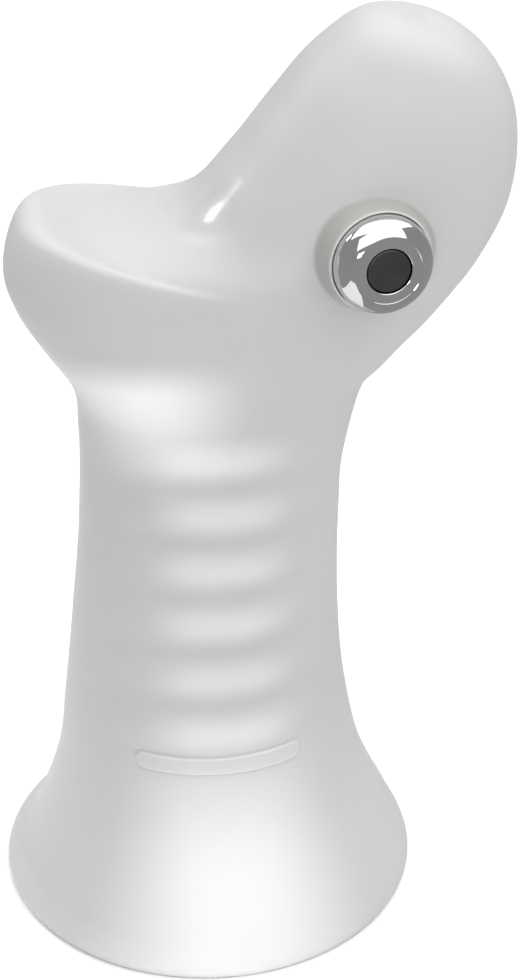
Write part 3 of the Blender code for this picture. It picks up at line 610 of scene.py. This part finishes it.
def markPaintedHighlight(piece):
    # painted highlight: 1 where the lamps light the body brightest: the ribs and the roll at their crests,
    # and the front of the foot
    x, y, height = cornersOf(piece).T
    turn = np.arctan2(x, -y)
    besideFront = np.abs(np.degrees(turn))
    bell = 1 - smoothStep(*softLook["frontBeside"], besideFront)
    mark = softLook["ribHighlight"] * ribLift(height, turn) / bodySize["ribHeight"]
    mark = mark * (1 - smoothStep(*softLook["ribBeside"], besideFront))
    mark = mark + softLook["rollHighlight"] * rollLift(height, turn) / bodySize["rollProud"]
    mark = mark + bell * (1 - smoothStep(softLook["footFull"], softLook["frontTop"], height)) * (y < 0)
    addMark(piece, "paintedHighlight", np.clip(mark, 0, 1))


def markCollarShade(piece):
    # painted shade: 1 on the collar's thin wall and down the pocket, a band round the unit's axis on the
    # front, eased to 0 outside and towards the lip
    aside, over, out = alongUnit(cornersOf(piece))
    r = np.hypot(aside, over)
    surface = unitSize["length"] - unitSize["proud"]
    outer, height = unitSize["collarOuter"], unitSize["collarHeight"]
    mark = (1 - smoothStep(outer - 0.0002, outer + 0.0005, r)) * (out > surface - 0.004)
    addMark(piece, "collarShade", mark * (1 - smoothStep(surface + height * 0.75, surface + height, out)))


def makeSoftBody():
    rows, columns = bodySize["rows"], bodySize["columns"]
    heightOf = lambda share: bodySurface(share, np.zeros_like(share))[:, 2]
    def rowDensity(share):
        height = heightOf(share)
        bar = np.abs(np.abs(height - bodySize["barCentre"]) - bodySize["barHeight"] / 2) < 0.0008
        column = (height < 0.12) * (height > 0.036)
        return 1 + 5 * bar + 0.5 * column + 3 * (height < 0.003) + 0.6 * (share > 0.93)
    shares = spreadBy(rowDensity, rows + 1)
    turns = 2 * np.pi * (spreadBy(lambda t: 1 + 1.4 * (np.abs(t - 0.5) < 0.19), columns + 1)[:-1] - 0.5)
    shareGrid, turnGrid = np.repeat(shares[:-1], columns), np.tile(turns, rows)
    points = bodySurface(shareGrid, turnGrid)
    height = points[:, 2]
    lift = ribLift(height, turnGrid) + barLift(height, turnGrid) + rollLift(height, turnGrid)
    away = np.stack([np.sin(turnGrid), -np.cos(turnGrid), np.zeros_like(turnGrid)], -1)
    points = points + lift[:, None] * away
    number = np.arange(rows * columns).reshape(rows, columns)

    aside, over, out = alongUnit(points)
    far = np.where(out > unitSize["length"] * 0.6, np.hypot(aside, over), 1.0)
    beside = np.roll(number, -1, 1)
    quads = np.stack([number[:-1], beside[:-1], beside[1:], number[1:]], -1).reshape(-1, 4)
    removed = (far[quads] < unitSize["collarReach"] + unitSize["collarMargin"]).any(1)
    loop = boundaryOf(quads[removed])
    quads = quads[~removed]
    rings = collarRings(aside[loop], over[loop], shareGrid[loop], turnGrid[loop], np.argmin(far),
                        shareGrid, turnGrid)
    previous = rows * columns + np.arange(len(loop))
    seam = np.concatenate([loop, previous])[fillBetween(aside[loop], over[loop], *rings[0][:2])]
    extra, faceSets, count = [fromUnit(*rings[0])], [quads, seam], previous[-1] + 1
    for ring in rings[1:]:
        extra.append(fromUnit(*ring))
        current = count + np.arange(len(loop))
        faceSets.append(ringQuads(previous, current))
        previous, count = current, count + len(loop)
    extra.append((unitTip - unitOut * unitSize["gap"])[None])
    faceSets.append(ringFan(previous, count))
    count += 1

    footCentre = points[number[0]].mean(0)
    previous = number[0][::-1]
    for share in (0.985, 0.9, 0.6, 0.3, 0.05):
        extra.append(footCentre + (points[number[0]][::-1] - footCentre) * share)
        current = count + np.arange(columns)
        faceSets.append(ringQuads(previous, current))
        previous, count = current, count + columns
    extra.append(footCentre[None])
    faceSets.append(ringFan(previous, count))
    count += 1
    extra.append(bodySurface(shares[-1:], np.zeros(1)))
    faceSets.append(ringFan(number[-1], count))
    points = np.concatenate([points] + extra)
    piece = addPiece("softBody", points, faceSets, softMaterial, "body", ("soft_body",))
    markCollarShade(piece)
    markPaintedHighlight(piece)
    return piece


softBody = makeSoftBody()
print("soft body:", len(softBody.data.polygons), "faces")

# drive unit

def arcPoints(centreR, centreOut, width, depth, start, end, count):
    # part of an ellipse, angles from +r towards out
    turns = np.radians(np.linspace(start, end, count))
    return np.stack([centreR + width * np.cos(turns), centreOut + depth * np.sin(turns)], -1)


def straightRuns(points, spacing):
    # the same outline with each run split into equal steps no longer than spacing
    points = np.asarray(points, float)
    lengths = np.linalg.norm(np.diff(points, axis=0), axis=1)
    pieces = [np.linspace(a, b, max(1, int(math.ceil(n / spacing))), endpoint=False)
              for a, b, n in zip(points[:-1], points[1:], lengths)]
    return np.concatenate(pieces + [points[-1:]])


def turnedShape(outline, steps, closedLoop):
    # every outline point (r, out) is carried round the unit's axis; ends on the axis close to one point
    outline = np.asarray(outline, float)
    ring = outline if closedLoop else outline[1:-1]
    turn = 2 * np.pi * np.arange(steps) / steps
    far = ring[:, :1]
    points = fromUnit(far * np.cos(turn), far * np.sin(turn), np.repeat(ring[:, 1:], steps, 1))
    number = np.arange(len(ring) * steps).reshape(len(ring), steps)
    upper = np.roll(number, -1, 0) if closedLoop else number[1:]
    lower = number if closedLoop else number[:-1]
    quads = np.stack([lower, np.roll(lower, -1, 1), np.roll(upper, -1, 1), upper], -1).reshape(-1, 4)
    points = points.reshape(-1, 3)
    if closedLoop:
        return points, [quads]
    ends = unitTip + outline[[0, -1], 1:] * unitOut
    fans = [ringFan(number[0][::-1], len(points)), ringFan(number[-1], len(points) + 1)]
    return np.concatenate([points, ends]), [quads] + fans


capSize = {
    "radius": 0.0089, "length": 0.0125, "mouthGap": 0.0003, "boreRadius": 0.0061, "spigotRadius": 0.00745,
    "spigotStart": 0.0295, "topStart": 0.0463, "shoulderWidth": 0.0027, "shoulderDepth": 0.0031,
    "shoulderEnd": 60.0, "holeRadius": 0.00415, "chamfer": 0.00045, "landDrop": 0.00012,
    "grooveDepth": 0.00065, "grooveWidth": 0.00102, "grooveDrop": 0.0016, "edge": 0.0002,
}


def makeCap():
    top, low = unitSize["length"], unitSize["length"] - capSize["length"] + capSize["mouthGap"]
    land = capSize["radius"] - capSize["shoulderWidth"]
    bore, spigot = capSize["boreRadius"], capSize["spigotRadius"]
    start, edge = capSize["spigotStart"], capSize["edge"]
    high = low - capSize["grooveDrop"]
    floor, side = spigot - capSize["grooveDepth"], high - capSize["grooveWidth"]
    outline = [(bore, start), (spigot, start), (spigot, side), (floor, side), (floor, high), (spigot, high)]
    outline += [(spigot, low), (capSize["radius"] - edge, low), (capSize["radius"], low + edge)]
    end = math.radians(capSize["shoulderEnd"])
    wide, deep = capSize["shoulderWidth"] / (1 - math.cos(end)), capSize["shoulderDepth"] / math.sin(end)
    shoulder = arcPoints(capSize["radius"] - wide, top - capSize["shoulderDepth"], wide, deep,
                         0, capSize["shoulderEnd"], 30)
    step = np.array([(land - 0.00012, top + 0.0), (land - 0.00022, top - 0.00008)])
    outline = np.concatenate([straightRuns(outline, 0.0008), shoulder, step])
    hole = capSize["holeRadius"]
    chamfer, under = capSize["chamfer"], capSize["topStart"]
    dish = straightRuns([(land - 0.00034, top - capSize["landDrop"]), (hole + chamfer, top - 0.00004)],
                        0.0003)
    rim = arcPoints(hole + chamfer / 2, top - 0.00020, chamfer / 2, 0.00018, 80, 180, 8)
    inside = straightRuns([(hole, top - 0.0006), (hole, under), (bore, under), (bore, start + 0.0008)],
                          0.0012)
    points, faces = turnedShape(np.concatenate([outline, dish, rim, inside]), 160, True)
    return addPiece("chromeCap", points, faces, chromeMaterial, "cap", ("end_cap",), 40)


caseSize = {"wall": 0.0012, "edge": 0.0002, "grooveDepth": 0.00015}


def makeCase():
    mouth, r, wall = unitSize["length"] - capSize["length"], unitSize["radius"], caseSize["wall"]
    outer = arcPoints(0, r, r, r, -90, 0, 28)
    turned, deep = caseSize["edge"], r - caseSize["grooveDepth"]
    edge = arcPoints(r - turned, mouth - turned, turned, turned, 0, 90, 5)
    groove = [(r, mouth - 0.0042), (deep, mouth - 0.0040), (deep, mouth - 0.0036), (r, mouth - 0.0034)]
    side = straightRuns([(r, r + 0.001)] + groove, 0.002)
    inner = straightRuns([(r - wall, mouth), (r - wall, r)], 0.003)
    bottom = arcPoints(0, r, r - wall, r - wall, 0, -90, 18)[1:]
    outline = np.concatenate([outer, side, edge, inner, bottom])
    outline[0], outline[-1] = (0, 0), (0, wall)
    points, faces = turnedShape(outline, 128, False)
    return addPiece("chromeCase", points, faces, chromeMaterial, "bullet",
                    ("bullet_case",), 40)


buttonSize = {"radius": 0.0040, "flange": 0.00495, "flangeStart": 0.0451, "flangeThick": 0.0009,
              "face": 0.04885, "dish": 0.00022, "edge": 0.0005}


def makeButton():
    face, r, edge = buttonSize["face"], buttonSize["radius"], buttonSize["edge"]
    low, high = buttonSize["flangeStart"], buttonSize["flangeStart"] + buttonSize["flangeThick"]
    body = straightRuns([(0, low), (buttonSize["flange"], low), (buttonSize["flange"], high), (r, high),
                         (r, face - edge)], 0.0006)
    corner = arcPoints(r - edge, face - edge, edge, edge, 8, 90, 9)
    share = np.linspace(1, 0, 12)[1:]
    dish = np.stack([(r - edge) * share, face - buttonSize["dish"] * (1 - share**2)], -1)
    points, faces = turnedShape(np.concatenate([body, corner, dish]), 96, False)
    return addPiece("blackButton", points, faces, buttonMaterial, "button",
                    ("push_button",), 35)


sealSize = {"radius": 0.00725, "thick": 0.00036}


def makeSeal():
    low = unitSize["length"] - capSize["length"] + capSize["mouthGap"]
    middle = low - capSize["grooveDrop"] - capSize["grooveWidth"] / 2
    seal = arcPoints(sealSize["radius"], middle, sealSize["thick"], sealSize["thick"], 0, 345, 24)
    points, faces = turnedShape(seal, 128, True)
    return addPiece("capSeal", points, faces, sealMaterial, "cap_seal", ("cap_o_ring",))


makeCap()
makeCase()
makeButton()
makeSeal()
print("drive unit shells made")

# finishes for the pieces carried over

innerFinish = {
    "button_retainer": whiteMaterial, "switch_board": boardMaterial, "switch_housing": buttonMaterial,
    "switch_plunger": whiteMaterial, "contact_spring": steelMaterial, "battery_cell_1": cellMaterial,
    "battery_cell_2": cellMaterial, "battery_cell_3": cellMaterial, "battery_sleeve": whiteMaterial,
    "contact_plate": brassMaterial, "ground_strip": brassMaterial, "motor_cradle": whiteMaterial,
    "motor_can": steelMaterial, "magnet_ring": magnetMaterial, "rotor": steelMaterial,
    "motor_shaft": steelMaterial, "motor_bushing": brassMaterial, "motor_end_bell": whiteMaterial,
    "eccentric_weight": heavyMaterial,
    "lead_wire_red": redMaterial, "lead_wire_black": buttonMaterial,
    "soft_body": softMaterial, "bullet_case": chromeMaterial, "end_cap": chromeMaterial,
    "push_button": buttonMaterial, "cap_o_ring": sealMaterial,
}
for nodeName, finish in innerFinish.items():
    node = frame["nodes"][nodeName]
    node.data.materials.clear()
    node.data.materials.append(finish)
print("finishes placed:", len(innerFinish))

# floor, lights and camera

studio = {
    "floorColour": (0.94, 0.94, 0.945), "floorSize": 6.0,
    "tableLow": (-0.12, -0.26), "tableHigh": (0.006, 0.22),
    "backTone": 0.47, "frontTone": 0.46, "lowTone": 0.48,
    "overhead": 1.65, "overheadSize": (1.5, 1.66), "overheadPlace": (0.22, 0.31, 0.85),
    "front": 1.35, "frontSize": (1.5, 0.7), "frontPlace": (0.16, -0.72, 0.75),
    "window": 16.0, "windowSize": (0.30, 0.14), "windowPlace": (-0.22, -1.25, 0.28),
    "spark": 13.0, "sparkSize": (0.14, 0.18), "sparkPlace": (-0.66, 0.63, 0.54),
}


def makeFloor():
    # a table top the metal can mirror, and the rest of the floor round it, which shiny faces do not see
    made, tree, shader, position = startMaterial("paleFloor")
    mottle = placeGroup(tree, mottleGroup, position, (-700, 0), **{"Cloud Size": 3.0, "Grain Size": 60.0})
    tone = studio["floorColour"]
    worn = tuple(v * 0.995 for v in tone)
    colour = blendColour(tree, mottle.outputs["Cloud"], tone, worn, (-250, 200))
    tree.links.new(colour, shader.inputs["Base Color"])
    shader.inputs["Roughness"].default_value = 0.9
    half, (x0, y0), (x1, y1) = studio["floorSize"] / 2, studio["tableLow"], studio["tableHigh"]
    table = [(x0, y0, 0), (x1, y0, 0), (x1, y1, 0), (x0, y1, 0)]
    rim = [(-half, -half, 0), (half, -half, 0), (half, half, 0), (-half, half, 0)]
    sides = [(4, 5, 1, 0), (5, 6, 2, 1), (6, 7, 3, 2), (7, 4, 0, 3)]
    for name, points, faces in (("studioTable", table, [(0, 1, 2, 3)]), ("studioFloor", table + rim, sides)):
        mesh = bpy.data.meshes.new(name)
        mesh.from_pydata(points, [], faces)
        mesh.materials.append(made)
        floor = bpy.data.objects.new(name, mesh)
        bpy.context.scene.collection.objects.link(floor)
        floor.visible_glossy = name == "studioTable"


def makeWorld():
    world = bpy.data.worlds.new("studioWorld")
    bpy.context.scene.world = world
    world.use_nodes = True
    tree = world.node_tree
    tree.nodes.clear()
    place = newNode(tree, "ShaderNodeTexCoord", (-900, 0))
    parts = newNode(tree, "ShaderNodeSeparateXYZ", (-700, 0))
    tree.links.new(place.outputs["Generated"], parts.inputs["Vector"])
    tone = mapTo(tree, parts.outputs["Y"], studio["frontTone"], studio["backTone"], (-450, 100), -0.6, 0.7)
    lowest = studio["lowTone"] / studio["frontTone"]
    level = mapTo(tree, parts.outputs["Z"], lowest, 1.0, (-450, -150), -0.3, 0.05)
    background = newNode(tree, "ShaderNodeBackground", (-50, 0))
    tree.links.new(mathNode(tree, "MULTIPLY", (-220, 0), tone, level), background.inputs["Strength"])
    output = newNode(tree, "ShaderNodeOutputWorld", (100, 0))
    tree.links.new(background.outputs["Background"], output.inputs["Surface"])


def addAreaLight(name, place, aim, size, level):
    # the power that gives the panel's face the wanted brightness: level x pi x its area
    data = bpy.data.lights.new(name, "AREA")
    data.shape, data.size, data.size_y = "RECTANGLE", size[0], size[1]
    data.energy = level * math.pi * size[0] * size[1]
    lamp = bpy.data.objects.new(name, data)
    lamp.location = place
    lamp.rotation_euler = (Vector(place) - Vector(aim)).to_track_quat("Z", "Y").to_euler()
    lamp.visible_camera = False
    bpy.context.scene.collection.objects.link(lamp)


def makeCamera():
    data = bpy.data.cameras.new("viewCamera")
    data.lens, data.sensor_width, data.clip_start = 88.94, 36.0, 0.01
    camera = bpy.data.objects.new("viewCamera", data)
    camera.location = (-0.0397, -0.4052, 0.3200)
    camera.rotation_euler = (math.radians(60.2), 0, math.radians(-7.0))
    bpy.context.scene.collection.objects.link(camera)
    bpy.context.scene.camera = camera


makeFloor()
makeWorld()
aims = {"overhead": (0.25, 0.35, 0), "front": (0, 0, 0.1), "window": (0, 0, 0.08), "spark": (0, 0, 0.145)}
for name, aim in aims.items():
    addAreaLight(name + "Panel", studio[name + "Place"], aim, studio[name + "Size"], studio[name])
makeCamera()
bpy.context.scene.view_settings.view_transform = "Standard"
print("studio ready")
